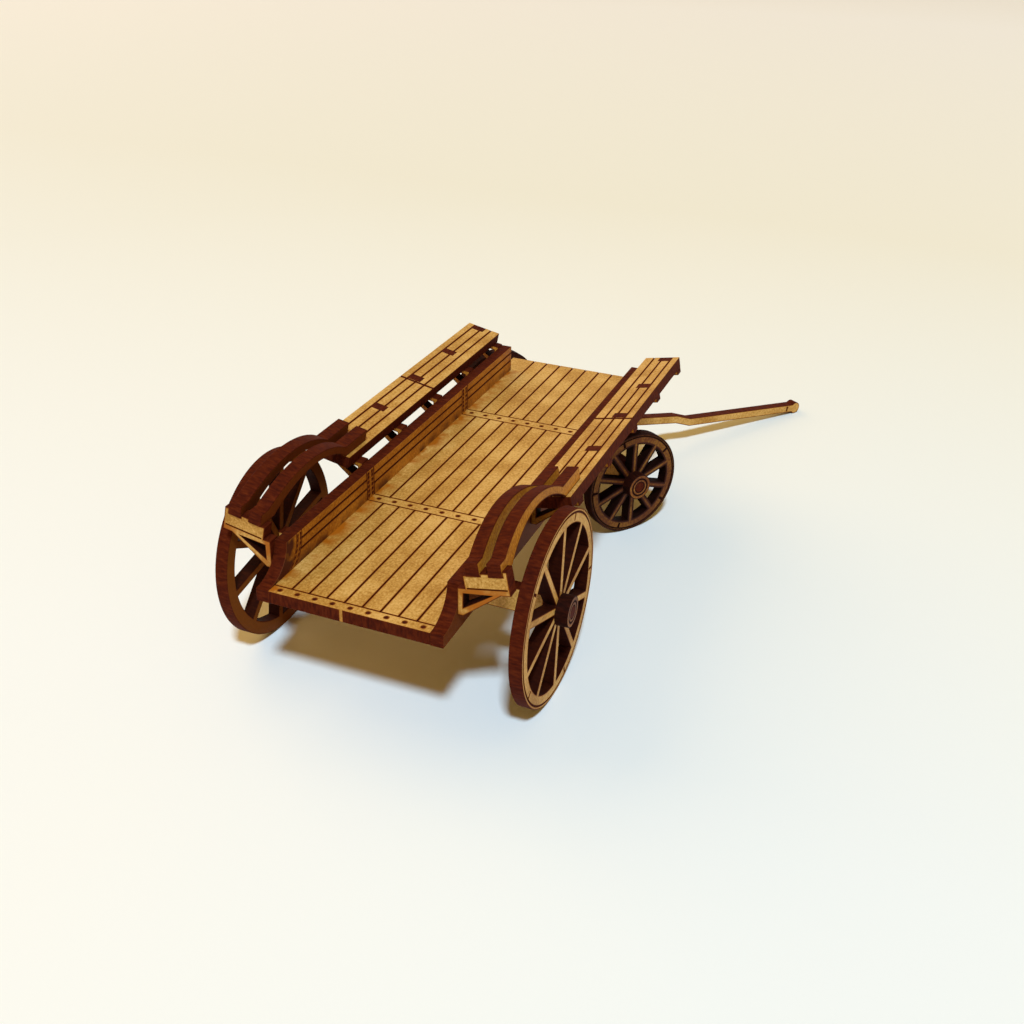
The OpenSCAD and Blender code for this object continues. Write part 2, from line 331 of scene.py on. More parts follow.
stroke = [(0, 0, 10, 0, line_half)]
print("a point 1 mm beside a line's middle lies",
      round(float(nearness(5.0, 1.0, stroke).squeeze()), 2), "mm from its groove")

# %% [markdown]
# A groove is deepest along its middle and rises over a share of its half width, and its burn
# dies away over the halo beside it. The cells that are cut away leave holes and notches, and a
# wall goes up wherever a cell that is kept has none beside it.

# %% Engraving a board
groove_wall, line_burn = 0.4, 0.9


def board(us, vs, marks, carry, keep=None, warp=None, mend=None):
    """A board on a grid of lines us and vs, with the height sheet less groove_depth times the
    share by which a point lies inside a mark. Cells where keep is false are cut away, warp
    moves the grid in its plane, mend changes the burn, and walls join the two faces."""
    u, v = np.meshgrid(us, vs, indexing="ij")
    cu, cv = np.meshgrid((us[1:] + us[:-1]) / 2, (vs[1:] + vs[:-1]) / 2, indexing="ij")
    cells = np.ones_like(cu, bool) if keep is None else keep(cu, cv)
    around = np.pad(cells, 1)
    whole = around[:-1, :-1] & around[1:, :-1] & around[:-1, 1:] & around[1:, 1:]
    away = nearness(u, v, marks)
    half = np.asarray(marks, float)[:, 4][:, None, None]
    depth = groove_depth * np.clip(-away / (groove_wall * half), 0, 1).max(0)
    burn = line_burn * np.clip(1 - away / halo, 0, 1).max(0)
    burn = np.where(whole, burn, 1.0)
    low_burn = np.where(whole, back_burn, 1.0)
    if mend is not None:
        burn, low_burn = mend(u, v, burn), mend(u, v, low_burn)
    rim = np.where(whole, 0, chamfer)
    if warp is not None:
        u, v = warp(u, v)
    top = np.stack([u, v, sheet - depth - rim], -1).reshape(-1, 3)
    low = np.stack([u, v, rim], -1).reshape(-1, 3)
    n = u.size
    index = np.arange(n).reshape(u.shape)
    a, b, c, d = index[:-1, :-1], index[1:, :-1], index[1:, 1:], index[:-1, 1:]
    faces = [np.stack([a, b, c, d], -1)[cells], np.stack([d, c, b, a], -1)[cells] + n]
    inner = around[1:-1, 1:-1]
    for gone, one, two in ((~around[:-2, 1:-1], a, d), (~around[2:, 1:-1], c, b),
                           (~around[1:-1, :-2], b, a), (~around[1:-1, 2:], d, c)):
        wall = inner & gone
        faces.append(np.stack([one, two, two + n, one + n], -1)[wall])
    faces = np.vstack(faces)
    used, faces = np.unique(faces, return_inverse=True)
    points = np.vstack([top, low])[used]
    burns = np.concatenate([burn.ravel(), low_burn.ravel()])[used]
    return shape(points, faces.reshape(-1, 4).tolist(), burns, carry)


print("a groove is", groove_depth, "mm deep and its wall is", groove_wall, "of its half width")

# %% [markdown]
# ## The floor
# Nine planks run along the wagon between two engraved battens, and a third batten closes the
# rear end. Each batten is a pair of fine lines with one nail dot for each plank. The planks'
# lines stop at the battens, as the laser drew them.

# %% Floor
planks = 9
plank_w = 2 * side_in / planks
joints_x = -side_in + plank_w * np.arange(1, planks)
battens = rear_y + np.array([[0.0, 1.8], [29.5, 31.7], [66.2, 68.6]])
runs = [(battens[0, 1], battens[1, 0]), (battens[1, 1], battens[2, 0]), (battens[2, 1], front_y)]
marks = [(x, a, x, b, line_half) for a, b in runs for x in joints_x]
marks += [(-side_in, y, side_in, y, fine_half) for y in battens.ravel()[1:]]
nails_y = [battens[0, 1] / 2 + rear_y / 2, *battens[1:].mean(1)]
nails_x = -side_in + plank_w * (np.arange(planks) + 0.5)
marks += [(x, y, x, y, dot_half) for y in nails_y for x in nails_x]
tab_x, tab_half = -1.0, 0.25
us = stops(floor_low[0], floor_high[0], marks, [0, 2],
           [-side_in - chamfer, -side_in, side_in, side_in + chamfer, -side_in + scorch,
            side_in - scorch, *(tab_x + np.array([-0.3, -0.2, 0.2, 0.3]))])
vs = stops(rear_y, front_y, marks, [1, 3], [side_front - chamfer, side_front, side_front + scorch])


def floor_cells(u, v):
    """The nose in front of the sides is as wide as the whole bed, the rest lies between them."""
    return (np.abs(u) < side_in) | (v > side_front)


def broken_tab(u, v, burn):
    """The sprue that held the floor in its sheet was snapped off: raw board shows there."""
    raw = (np.abs(u - tab_x) < tab_half) & (v < rear_y + 0.01)
    return np.where(raw, 0.12, burn)


def glue_stain(xyz):
    """Stain grows towards the joint with the left side: strength * (1 - distance / reach)."""
    strength, stain_reach = 1.5, 2.6
    beside = xyz[:, 1] < side_front
    return strength * np.clip(1 - (xyz[:, 0] + side_in) / stain_reach, 0, 1) * beside


flat = plane([0, 0, -sheet], [1, 0, 0], [0, 1, 0])
piece("floor", "bed", [board(us, vs, marks, flat, floor_cells, mend=broken_tab)], glue_stain)
print("floor lines", len(marks), "grid", len(us), "by", len(vs), "off by", made["floor"], "mm")

# %% [markdown]
# ## The sides
# A side stands on edge beside the floor. Its inner face carries two plank lines, stopped by
# upright cleats, and its rear end sweeps up in a hollow quarter of an ellipse. The grid is
# squeezed along the board near the rear end, so that its last line follows that curve.

# %% Sides
cleats = rear_y + np.array([[4.5, 6.8], [29.4, 31.7], [66.2, 68.6]])
side_lines = (3.6, 2.05)
runs = [(cleats[0, 1], cleats[1, 0]), (cleats[1, 1], cleats[2, 0]), (cleats[2, 1], side_front)]
marks = [(a, z, b, z, line_half) for a, b in runs for z in side_lines]
marks += [(y, 0, y, side_top, fine_half) for y in cleats.ravel()]
rivet_half, rivet_off = 0.24, 0.6
rivets_z = (0.55, 1.35, 2.15, 2.95, 3.75, 4.4)
marks += [(y + rivet_off * k, z, y + rivet_off * k, z, rivet_half)
          for y in cleats.mean(1) for k in (-1, 1) for z in rivets_z]
sweep, sweep_fade = 5.5, 14.0
curve_vs = side_top * (1 - np.cos(np.linspace(0, math.pi / 2, 18)))
us = stops(rear_y, side_front, marks, [0, 2])
vs = stops(side_low[2], side_top, marks, [1, 3], curve_vs, 1.0)


def swept(u, v):
    """Moves the grid's rear end forward by sweep * sqrt(1 - ((top - v) / top)^2) at height v,
    and lets that shift die away over the first sweep_fade of the board."""
    rise = np.clip((side_top - v) / side_top, 0, 1)
    shift = np.where(v > 0, sweep * np.sqrt(1 - rise**2), 0)
    share = np.clip(1 - (u - rear_y) / sweep_fade, 0, 1)
    return u + shift * share, v


# Painted shade: the lower band of each side is darkened where shade falls at its foot.
def side_shade_and_dark_rear(xyz):
    """Painted shade lies along the foot of a side, and the board is darker about its rear end
    behind the cleat. Each is strength * (1 - distance / reach), and the stronger one counts."""
    foot = 0.9 * np.clip(1 - np.abs(xyz[:, 2] - 0.2) / 1.4, 0, 1)
    rear = 3.0 * np.clip((cleats[0, 1] + 0.4 - xyz[:, 1]) / 0.8, 0, 1)
    return np.maximum(foot, rear)


inner_face = {"right": plane([side_out, 0, 0], [0, 1, 0], [0, 0, 1], [-1, 0, 0]),
              "left": plane([-side_out, 0, 0], [0, 1, 0], [0, 0, 1], [1, 0, 0])}
for hand, carry in inner_face.items():
    piece(hand + "_side", "bed", [board(us, vs, marks, carry, warp=swept)], side_shade_and_dark_rear)
print("sides off by", made["left_side"], made["right_side"], "mm")

# %% [markdown]
# ## Right and left
# Most of the bed's parts come in pairs. One drawing plane is given for the right-hand part, and
# the left-hand part is its mirror image across the wagon's middle.

# %% Mirrored planes
HANDS = {"right": np.array([1.0, 1, 1]), "left": np.array([-1.0, 1, 1])}


def hand_plane(hand, origin, right, up):
    """The drawing plane of a right-hand part, or of its mirror image on the left."""
    side = HANDS[hand]
    off = np.cross(right, up)
    return plane(np.array(origin) * side, np.array(right) * side, np.array(up) * side, off * side)


# %% [markdown]
# ## The side boards
# Each side board lies on brackets above the wheels, tilted up at its outer edge. Three plank
# lines run along it, with a narrower plank at the outer edge, a saw-wide joint crosses it
# behind the third bracket, and the brackets' tabs come up through five slots. The front slot
# is open at the board's end.

# %% Side boards
tab_w, tab_share = 2.4, 0.62
tab_in = board_w * tab_share - tab_w / 2
bracket_ys = [tuple(corner[1] for corner in box(f"right_bracket_{i}")) for i in range(1, 6)]
joint_back, joint_line_half = 0.45, 0.22
joint_y = bracket_ys[2][0] - joint_back
planks_across = 3.77
plank_lines = board_w * np.arange(1, 4) / planks_across
marks = [(u, a, u, b, line_half) for u in plank_lines
         for a, b in ((board_rear, joint_y), (joint_y, side_front))]
marks += [(0, joint_y, board_w, joint_y, joint_line_half)]
slot_us = [tab_in - scorch, tab_in - chamfer, tab_in,
           tab_in + tab_w, tab_in + tab_w + chamfer, tab_in + tab_w + scorch]
slot_vs = [y + d for low, high in bracket_ys
           for y, d in ((low, 0), (low, -chamfer), (low, -scorch), (high, 0), (high, chamfer),
                        (high, scorch))]
us = stops(0, board_w, marks, [0, 2], slot_us, 1.2)
vs = stops(board_rear, side_front, marks, [1, 3], slot_vs)


def board_cells(u, v):
    """A side board's cells, without those of the slots that the tabs come up through."""
    across = (u > tab_in) & (u < tab_in + tab_w)
    along = np.any([(v > low) & (v < high) for low, high in bracket_ys], 0)
    return ~(across & along)


board_point = np.array([board_x, 0, board_z])
for hand in HANDS:
    carry = hand_plane(hand, board_point - sheet * off_slope, slope, [0, 1, 0])
    piece(hand + "_outrave", "bed", [board(us, vs, marks, carry, board_cells)])
print("side boards off by", made["left_outrave"], made["right_outrave"], "mm")

# %% [markdown]
# ## The brackets
# A bracket is one plate: a leg glued to the side, an arm under the side board and a stay
# between them, with an open triangle, and a tab on top of the arm. The bracket at the rear
# end stands alone; a band on its arm stands in for the side board, with teeth that part the
# feet of the two bows, and an engraved line marks where the arm begins.

# %% Brackets
bar, leg_h, tooth = 0.9, 4.1, 0.4
stay_share, hole_share = 0.78, 0.6
line_margin, line_deep = 0.34, 0.1
bow_in, bow_gap = 0.6, 1.3
outer_bow = bow_in + sheet + bow_gap


def arm(u, up):
    """A point of the bracket's drawing: u along the side board's slope, up off its face."""
    p = board_point + u * slope + up * off_slope
    return [p[0], p[2]]


foot = [side_out, side_top - leg_h]
stay = [foot, [foot[0] + bar, foot[1]],
        arm(stay_share * board_w, -sheet - bar), arm(board_w, -sheet - bar)]
back = [arm(0, -sheet), [side_out, arm(0, -sheet)[1] - (board_x - side_out) * math.tan(tilt)]]
open_triangle = [[foot[0] + bar, foot[1] + 1.5 * bar], arm(hole_share * board_w, -sheet - bar),
                 [side_out + bar, arm(0, -sheet - bar)[1]]][::-1]
tab = [arm(tab_in + tab_w, -sheet), arm(tab_in + tab_w, 0), arm(tab_in, 0), arm(tab_in, -sheet)]
bracket_outline = stay + [arm(board_w, -sheet)] + tab + back
teeth = [(board_w, 2 * tooth), (outer_bow + sheet, 2 * tooth), (outer_bow + sheet, 0),
         (outer_bow, 0), (outer_bow, tooth), (bow_in + sheet, tooth), (bow_in + sheet, 0), (0, 0)]
rear_outline = stay + [arm(u, up) for u, up in teeth] + back
arm_line = [arm(line_margin, -sheet - line_deep), arm(board_w - line_margin, -sheet - line_deep),
            arm(board_w - line_margin, -sheet + line_deep), arm(line_margin, -sheet + line_deep)]


def below_arm(xyz):
    """The bracket's own arm, below the engraved line, is a little darker than the band."""
    up = (np.abs(xyz[:, 0]) - board_x) * off_slope[0] + (xyz[:, 2] - board_z) * off_slope[2]
    return np.where(up < -sheet, 1.2, 0.0)


for hand in HANDS:
    for i, (low, high) in enumerate(bracket_ys, 1):
        carry = hand_plane(hand, [0, high, 0], [1, 0, 0], [0, 0, 1])
        piece(f"{hand}_bracket_{i}", "bed", [plate(bracket_outline, carry, [open_triangle])])
    high = box("right_rear_bracket")[1][1]
    carry = hand_plane(hand, [0, high, 0], [1, 0, 0], [0, 0, 1])
    shell = plate(rear_outline, carry, [open_triangle], [[arm_line]])
    piece(hand + "_rear_bracket", "bed", [shell], below_arm)
print("bracket off by", made["right_bracket_3"], "rear bracket off by",
      made["right_rear_bracket"], "mm")

# %% [markdown]
# ## The bows
# Two flat bows stand side by side over each rear wheel. A bow is cut from the same sheet: a
# foot on the rear bracket, an arc that is deeper at its ends than at its crown because its
# outer and inner circles are set apart, and a straight end that lies on the side board.

# %% Bows
bow_mid, bow_half = rear_y + 17.8, 11.1
crown, depth, lean, tail, foot_y = 5.1, 1.6, 0.6, 6.4, rear_y + 4.2


def arc(centre_y, half, low, rise, count=40):
    """Points from left to right over a chord at height low: the circle through both ends of the
    chord and a crown at rise above it has the radius (half^2 + rise^2) / (2 rise)."""
    radius = (half**2 + rise**2) / (2 * rise)
    reach = math.asin(half / radius)
    angle = np.linspace(-reach, reach, count)
    return np.column_stack([centre_y + radius * np.sin(angle),
                            low + rise - radius + radius * np.cos(angle)])


under = arc(bow_mid + lean, bow_half - lean, 0, crown - depth)
over = arc(bow_mid - lean, bow_half, sheet, crown - sheet)[::-1]
end_y = bow_mid + bow_half + tail
bow_outline = np.vstack([[[foot_y, 0]], under, [[end_y, 0], [end_y, sheet]], over,
                         [[foot_y, sheet]]])
for hand in HANDS:
    for name, u in (("inner", bow_in), ("outer", outer_bow)):
        carry = hand_plane(hand, board_point + u * slope, [0, 1, 0], off_slope)
        piece(f"{hand}_{name}_arch", "bed", [plate(bow_outline, carry)])
print("bows off by", made["right_inner_arch"], made["left_outer_arch"], "mm")

# %% [markdown]
# ## The fore-carriage's own frame
# The front axle stands turned to the right about the king pin. The front wheel's joint gives
# the axle's direction, so its parts are drawn in a frame that is turned the same way.

# %% Fore-carriage frame
axle_dir = np.array(joints["front_right_spin"]["axis"], float)
ahead = np.cross([0, 0, 1], axle_dir)
king = np.array(joints["steer"]["pos_m"], float) / MM * [1, 1, 0]
rear_axle_at = np.array(joints["rear_right_spin"]["pos_m"], float) / MM * [0, 1, 1]
front_z = joints["front_right_spin"]["pos_m"][2] / MM
pivot = np.array(joints["pole_lift"]["pos_m"], float) / MM
king_low, king_high = box("king_pin")
table_z = (king_low[2] + king_high[2]) / 2
print("axle direction", axle_dir.round(3), "king pin at", king.round(2))

# %% [markdown]
# ## Axles
# An axle is a bar of the same sheet on edge. Its ends are rounded down to a thin peg, on which
# a wheel and its hub disc turn with a slight clearance.

# %% Axles
wheel_low, wheel_high = box("rear_right_wheel")
wheel_in, wheel_out = wheel_low[0], wheel_high[0]
wheel_clear, axle_below, overlap = 0.2, 1.8, 0.01
shoulder = wheel_in - wheel_clear
peg_r, clearance, peg_burn = 0.95, 0.06, 0.9
peg_end = wheel_out + sheet


def peg(radius, length, carry, count=48):
    """A round pin with a small bevel at both ends, each closed by one flat cap."""
    inner, bevel = radius - 2 * chamfer, radius - chamfer
    rim = [inner, bevel, radius, radius, bevel, inner]
    height = [0, 0, chamfer, length - chamfer, length, length]
    shell = turned(list(zip(rim, height, [peg_burn] * len(rim))), carry, count)
    around = (len(rim) - 1) * count
    ring = np.arange(count)
    caps = [tuple(ring[::-1]), tuple(ring + around)]
    shell["faces"] = shell["faces"][:around] + [c[::-1] if carry.mirrored else c for c in caps]
    return shell


def axle(name, body, centre, across, forward, top, bottom):
    """A beam between the wheels, with a peg at each end along its own axis."""
    beam_at = centre * [1, 1, 0] + forward * sheet / 2
    beam = [[-shoulder, bottom], [shoulder, bottom], [shoulder, top], [-shoulder, top]]
    shells = [plate(beam, plane(beam_at, across, [0, 0, 1]))]
    for side in (1, -1):
        start = centre + side * across * (shoulder - overlap)
        off = side * across
        carry = plane(start, forward, np.cross(off, forward))
        shells.append(peg(peg_r, peg_end - shoulder + overlap, carry))
    piece(name, body, shells)


across, y_axis = np.array([1.0, 0, 0]), np.array([0, 1.0, 0])
axle("rear_axle", "bed", rear_axle_at, across, y_axis, -sheet, box("rear_axle")[0][2])
front_at = king + [0, 0, front_z]
axle("front_axle", "fore_carriage", front_at, axle_dir, ahead, table_z - sheet,
     front_z - axle_below)
print("axles off by", made["rear_axle"], made["front_axle"], "mm")

# %% [markdown]
# ## Turntable, king pin and hounds
# Two discs of sheet turn on each other about a dowel. The upper one is glued under the floor.
# Two hounds hang from the lower one in front of the axle and hold the pole's pin.

# %% Turntable, pins and hounds
table_r, king_r = 6.0, 1.0


def ring_disc(outer, inner, top_marks=()):
    """The section of a disc with a bore, and engraved rings (radius, half width) on its face:
    (radius, height, burn) points from the bore's foot outwards, up, and back over the face."""
    bottom = sheet - groove_depth
    top = [(outer, sheet - chamfer, 1), (outer - chamfer, sheet, 0.8), (outer - scorch, sheet, 0)]
    for radius, half in top_marks:
        out, back = radius + half, radius - half
        top += [(out + 0.1, sheet, 0.2), (out, sheet, 0.8), (out - groove_slope, bottom, 1),
                (back + groove_slope, bottom, 1), (back, sheet, 0.8), (back - 0.1, sheet, 0.2)]
    top += [(inner + scorch, sheet, 0), (inner, sheet - 0.01, 1)]
    return [(inner, 0, 1), (inner + scorch, 0, 0), (outer - scorch, 0, 0),
            (outer - chamfer, 0, 0.8), (outer, chamfer, 1)] + top


level = [1, 0, 0], [0, 1, 0]
upper_at = plane(king + [0, 0, table_z], *level)
piece("upper_turntable", "bed", [turned(ring_disc(table_r, king_r), upper_at)])
lower_at = plane(king + [0, 0, table_z - sheet], axle_dir, ahead)
lower_ring = ring_disc(table_r, king_r + clearance)
piece("lower_turntable", "fore_carriage", [turned(lower_ring, lower_at)])
piece("king_pin", "bed", [peg(king_r, 2 * sheet, plane(king + [0, 0, table_z - sheet], *level))])

hound_in = sheet / 2 + clearance
pin_r = 0.6
hound_top, pivot_y, pivot_z = table_z - sheet, 6.0, pivot[2]
hound_below, hound_ahead, hound_cut = 2.2, 2.4, 1.0
hound = [[sheet / 2, pivot_z - hound_below], [pivot_y + hound_cut, pivot_z - hound_below],
         [pivot_y + hound_ahead, pivot_z - hound_cut], [pivot_y + hound_ahead, hound_top],
         [sheet / 2, hound_top]]
pin_hole = circle(pin_r, 32, (pivot_y, pivot_z))[::-1]
for hand, side in (("right", 1), ("left", -1)):
    start = king + side * axle_dir * hound_in
    carry = plane(start, ahead, [0, 0, 1], side * axle_dir)
    piece(hand + "_hound", "fore_carriage", [plate(hound, carry, [pin_hole])])
pin_from = pivot - axle_dir * (hound_in + sheet)
pin_at = plane(pin_from, ahead, [0, 0, 1])
piece("pole_pin", "fore_carriage", [peg(pin_r, 2 * (hound_in + sheet), pin_at, 32)])
print("turntable, hound and pin off by", made["lower_turntable"], made["right_hound"],
      made["pole_pin"])

# %% [markdown]
# ## The pole
# The draw pole is a narrow strip of sheet on edge. It swings on its pin between the hounds,
# steps down in a swan neck, and ends in a round knob that rests on the ground. A ring is
# engraved where the knob begins.

# %% Pole
pole_l, pole_h, pole_drop, knob_r = 60.2, 1.7, 2.6, 1.3
neck_y, neck_l, neck_step = 24.4, 4.0, 1.05
half = pole_h / 2
ground = rear_axle_at[2] - (wheel_high[2] - wheel_low[2]) / 2
reach = math.hypot(pole_l, pole_drop)
dip = math.asin((pivot[2] - ground - knob_r) / reach) - math.atan(pole_drop / pole_l)


def leaves(radius, height, rise):
    """Where the line v = height + rise * u leaves a circle round the origin, on its front side:
    the larger root of (1 + rise^2) u^2 + 2 height rise u + height^2 - radius^2 = 0."""
    a, b, c = 1 + rise**2, 2 * height * rise, height**2 - radius**2
    u = (-b + math.sqrt(b * b - 4 * a * c)) / (2 * a)
    return u, height + rise * u


rise = (neck_step - pole_drop) / neck_y
upper, lower = leaves(pole_h, half, rise), leaves(pole_h, -half, rise)
turn = np.linspace(math.atan2(upper[1], upper[0]),
                   2 * math.pi + math.atan2(lower[1], lower[0]), 40)
butt = pole_h * np.column_stack([np.cos(turn), np.sin(turn)])
knob_at = math.asin(half / knob_r)
turn = np.linspace(-math.pi + knob_at, math.pi - knob_at, 48)
knob = [pole_l, -pole_drop] + knob_r * np.column_stack([np.cos(turn), np.sin(turn)])
strip_low = [[neck_y, neck_step - pole_drop - half], [neck_y + neck_l, -pole_drop - half]]
strip_high = [[neck_y + neck_l, half - pole_drop], [neck_y, neck_step - pole_drop + half]]
pole_outline = np.vstack([butt, strip_low, knob, strip_high])
ring_back, ring_half, ring_margin = 2.6, 0.2, 0.32
ring_u = pole_l - ring_back
ring_low, ring_high = ring_margin - half - pole_drop, half - ring_margin - pole_drop
ring_mark = [[ring_u - ring_half, ring_low], [ring_u + ring_half, ring_low],
             [ring_u + ring_half, ring_high], [ring_u - ring_half, ring_high]]
along = ahead * math.cos(dip) - np.array([0, 0, math.sin(dip)])
above = ahead * math.sin(dip) + np.array([0, 0, math.cos(dip)])
carry = plane(pivot - axle_dir * sheet / 2, along, above)
bore = circle(pin_r + clearance, 32)[::-1]
piece("pole", "pole", [plate(pole_outline, carry, [bore], [[ring_mark]])])
print("pole off by", made["pole"], "mm, dip", round(math.degrees(dip), 2), "degrees")

# %% [markdown]
# ## The wheels
# A wheel is one flat plate: rim, ten spokes and hub, with ten windows cut out. On its outer
# face the laser engraved the tyre's edge and the five joints between the felloes. A window is
# a ring sector whose straight sides stay parallel to the spokes, half a spoke off their
# middles: on a circle of radius r its corner lies asin(half / r) from the spoke's angle.

# %% Wheels
spokes, spoke_half, rim_w, hub_r = 10, 0.6, 2.1, 2.4
tyre_in, joint_half, felloes = 0.52, 0.15, 5
spur_margin, spur_share = 0.34, 1.3


def window(radius, spoke_angle):
    """One opening between two spokes, clockwise."""
    step = 2 * math.pi / spokes
    low = math.asin(spoke_half / hub_r)
    high = math.asin(spoke_half / radius)
    inner = spoke_angle + np.linspace(low, step - low, 5)
    outer = spoke_angle + np.linspace(step - high, high, 12)
    return np.vstack([hub_r * np.column_stack([np.cos(inner), np.sin(inner)]),
                      radius * np.column_stack([np.cos(outer), np.sin(outer)])])


print("a window's corners, for a rim of 10 mm inside:", window(10.0, 0.0)[[0, 4]].round(2).tolist())

# %% [markdown]
# The tyre's edge is one engraved ring. At each felloe joint a short spur of the same groove
# runs inwards across the rim, so ring and spurs are one area: a circle outside, and inside it
# an island whose outline steps in at every spur.

# %% The tyre's engraving
def tyre_marks(radius, first_joint):
    """The engraved ring inside the tyre, with a short spur inwards at each felloe joint."""
    outer = circle(radius - tyre_in + joint_half, 144)
    reach = radius - rim_w + spur_margin
    at = radius - tyre_in - joint_half
    inner = []
    for k in range(felloes):
        a = first_joint + k * 2 * math.pi / felloes
        d = joint_half * spur_share / reach
        span = np.linspace(a + d, a + 2 * math.pi / felloes - d, 30)
        inner += [[a - d, at], [a - d, reach], [a + d, reach],
                  *np.column_stack([span, np.full(30, at)])[:-1]]
    inner = np.array(inner)[::-1]
    return [outer, inner[:, 1:] * np.column_stack([np.cos(inner[:, 0]), np.sin(inner[:, 0])])]


print("the engraving of a 20 mm wheel:", [len(loop) for loop in tyre_marks(10.0, 0.0)], "points")

# %% [markdown]
# A wheel and the hub disc glued on its outer face turn together. The front wheels' plates came
# out darker than the rear ones: the scorch covers the spokes and the face between is browned.

# %% The four wheels
ring_at, ring_line = 1.62, 0.1
browned = {"fade": 0.46, "face_burn": 0.2}


def wheel(name, centre, forward, off, diameter, roll, joint_turn, **finish):
    """A wheel in the plane of forward and up, its outer face towards off. One spoke stands
    roll degrees from upright, and the first felloe joint joint_turn + 1/2 spokes on."""
    radius = diameter / 2
    first = math.radians(90 + roll)
    carry = plane(centre, forward, [0, 0, 1], off)
    step = 2 * math.pi / spokes
    holes = [window(radius - rim_w, first + k * step) for k in range(spokes)]
    holes.append(circle(peg_r + clearance, 40)[::-1])
    marks = tyre_marks(radius, first + (joint_turn + 0.5) * step)
    rim = circle(radius, 160, phase=first)
    piece(name + "_wheel", name, [plate(rim, carry, holes, [marks], **finish)])
    hub_carry = plane(centre + sheet * off, forward, [0, 0, 1], off)
    section = ring_disc(hub_r, peg_r + clearance, [(ring_at, ring_line)])
    piece(name + "_hub", name, [turned(section, hub_carry)])


rear_d = wheel_high[2] - wheel_low[2]
front_d = 2 * (front_z - ground)
for hand, side, roll in (("right", 1, -3), ("left", -1, -8)):
    place = rear_axle_at + side * wheel_in * across
    wheel("rear_" + hand, place, y_axis, side * across, rear_d, roll, 1)
for hand, side in (("right", 1), ("left", -1)):
    place = front_at + side * wheel_in * axle_dir
    wheel("front_" + hand, place, ahead, side * axle_dir, front_d, 0, 0, **browned)
print("wheels and hubs off by", [made[f"{a}_{b}_{c}"] for a in ("rear", "front")
                                 for b in ("left", "right") for c in ("wheel", "hub")])
worst = max(made, key=made.get)
print(len(made), "pieces; the largest difference from the CAD is", made[worst], "mm, on", worst)

# %% [markdown]
# ## The board's finish
# Fibreboard has a smooth tan face with a faint fleck of fibres and broader cloudy patches. The
# laser leaves a brown scorch beside its path and a dark red-brown cut edge, streaked along the
# beam's direction, which is the sheet's thickness. The material blends the two by the stored
# burn, and takes all its patterns from the stored place in the sheet, in millimetres.

# %% Helpers for the materials
def linear(code):
    """A colour written as six hexadecimal digits, turned from sRGB to linear light."""
    values = [int(code[i:i + 2], 16) / 255 for i in (0, 2, 4)]
    return (*[v / 12.92 if v <= 0.04045 else ((v + 0.055) / 1.055) ** 2.4 for v in values], 1)


def add(tree, kind, settings=None, **links):
    """Adds a node. Settings are its properties, with stops for a ramp's (place, hex colour)
    pairs; links set or connect its inputs, by name with underscores for spaces, or by number
    as in i0."""
    node = tree.nodes.new(kind)
    settings = dict(settings or {})
    pairs = settings.pop("stops", [])
    for _ in pairs[2:]:
        node.color_ramp.elements.new(0.5)
    for k, (place, code) in enumerate(pairs):
        node.color_ramp.elements[k].position = place
        node.color_ramp.elements[k].color = linear(code)
    for key, value in settings.items():
        setattr(node, key, value)
    for key, value in links.items():
        numbered = key[0] == "i" and key[1:].isdigit()
        socket = node.inputs[int(key[1:]) if numbered else key.replace("_", " ")]
        if isinstance(value, bpy.types.NodeSocket):
            tree.links.new(value, socket)
        else:
            socket.default_value = value
    return node


clamped, colours, numbers = {"clamp": True}, {"data_type": "RGBA"}, {"data_type": "FLOAT"}
print("half grey is", round(linear("808080")[0], 3), "in linear light")

# %% [markdown]
# Four finishes share one recipe: the plain face, the orange face of the small plates that were
# etched all over, the dark face of the hubs and the front wheels, and the dowel. They differ
# in their colours only. The face varies with clouds some 6 mm across and flecks some 0.3 mm
# across. Stains and painted shade lie along some joints, broken up by the clouds. Streaks on the
# cut edge stand some 0.25 mm apart, and the walls of holes get painted shade, nearly black.
# Between face and edge the scorch turns the face orange-brown first, then dark.

# %% Laser-cut fibreboard
face_clouds, stain_and_shade_clouds = 0.16, 0.28
fleck_rate, streak_rate = (2.6, 2.0, 2.0), (2.6, 2.6, 0.8)
# The near-black colour of the painted shade on the walls of holes.
hole_shade_colour = "0C0200"


